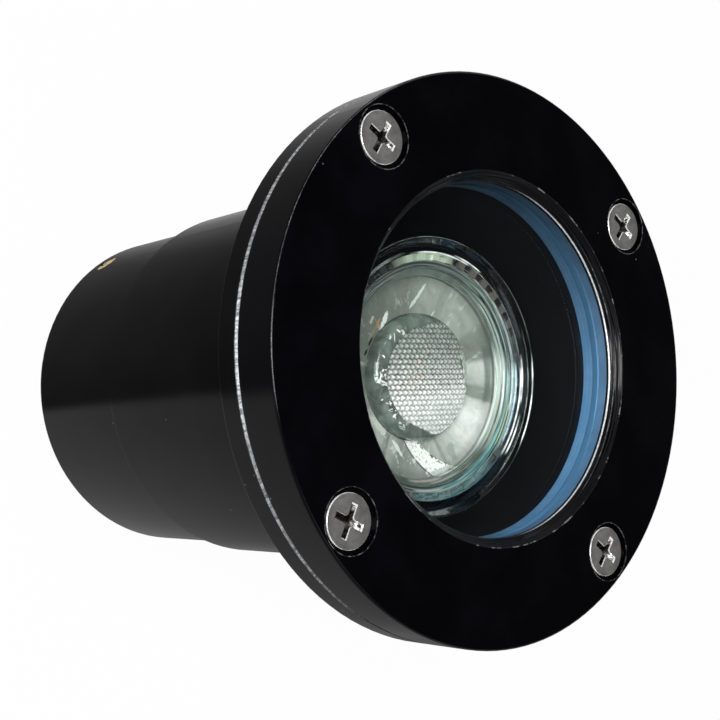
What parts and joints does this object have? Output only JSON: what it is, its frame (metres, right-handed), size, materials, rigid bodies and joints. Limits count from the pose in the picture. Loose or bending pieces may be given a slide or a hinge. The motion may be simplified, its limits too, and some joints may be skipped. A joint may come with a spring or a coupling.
{
  "type": "in ground well light",
  "caption": "Round well light with a flanged stepped can, a screwed face ring, a glass lens in a blue gasket and a two-pin reflector lamp.",
  "frame": {"origin": "on the light's axis at the flange's underside, where the light seats on the ground or on its sleeve", "axes": "+Z out of the glass face along the light's axis; +X towards the face screw that is in line with the brass lock screw"},
  "size_m": [0.1, 0.1, 0.126],
  "materials": {
    "can_coat": "satin black coat over cast aluminium",
    "plug_coat": "satin black coat over turned aluminium",
    "ring_coat": "smooth black coat with bare worn edges",
    "stainless": "brushed stainless steel",
    "lens_glass": "clear tempered glass",
    "blue_silicone": "smooth blue silicone",
    "lamp_glass": "clear pressed glass",
    "dish_glass": "coated pressed glass with facets",
    "bead_glass": "beaded clear lens",
    "phosphor": "yellow phosphor gel",
    "bare_aluminium": "machined aluminium",
    "circuit_board": "green board with black parts",
    "white_ceramic": "glazed white ceramic",
    "pin_metal": "nickel-plated pins",
    "contact_brass": "spring brass",
    "zinc_steel": "zinc-plated steel",
    "lead_sleeve": "white silicone sleeve",
    "splice_sleeve": "red nylon crimp sleeve",
    "black_rubber": "matt black rubber",
    "brass": "turned brass",
    "gland_nylon": "moulded black nylon"
  },
  "bodies": {
    "can": {"housing": "can_coat", "end_plug": "plug_coat", "plug_o_ring": "black_rubber", "lock_screw": "brass", "gland_body": "gland_nylon", "gland_washer": "black_rubber", "gland_locknut": "gland_nylon", "gland_seal": "black_rubber", "socket_body": "white_ceramic", "socket_contacts": "contact_brass", "socket_strap": "zinc_steel", "socket_screws": "zinc_steel", "strap_screws": "zinc_steel", "socket_leads": "lead_sleeve", "splices": "splice_sleeve"},
    "cover": {"face_ring": "ring_coat", "lens": "lens_glass", "lens_gasket": "blue_silicone"},
    "face_screws": {"face_screws": "stainless"},
    "lamp": {"lamp_cup": "lamp_glass", "lamp_dish": "dish_glass", "bead_lens": "bead_glass", "led_chip": "phosphor", "lamp_board": "bare_aluminium", "heat_slug": "bare_aluminium", "lamp_driver": "circuit_board", "lamp_base": "white_ceramic", "lamp_pins": "pin_metal"},
    "gland_nut": {"gland_nut": "gland_nylon"}
  },
  "joints": [
    {"name": "cover_lift", "type": "slide", "parent": "can", "child": "cover", "axis": [0, 0, 1], "range_m": [0, 0.06]},
    {"name": "screws_out", "type": "slide", "parent": "cover", "child": "face_screws", "axis": [0, 0, 1], "range_m": [0, 0.0145]},
    {"name": "lamp_out", "type": "slide", "parent": "can", "child": "lamp", "axis": [-0.0247, 0.053, 0.9983], "range_m": [0, 0.0072]},
    {"name": "gland_nut_turn", "type": "hinge", "parent": "can", "child": "gland_nut", "pos_m": [0, 0, -0.105], "axis": [0, 0, -1], "range_deg": [0, 360]}
  ]
}
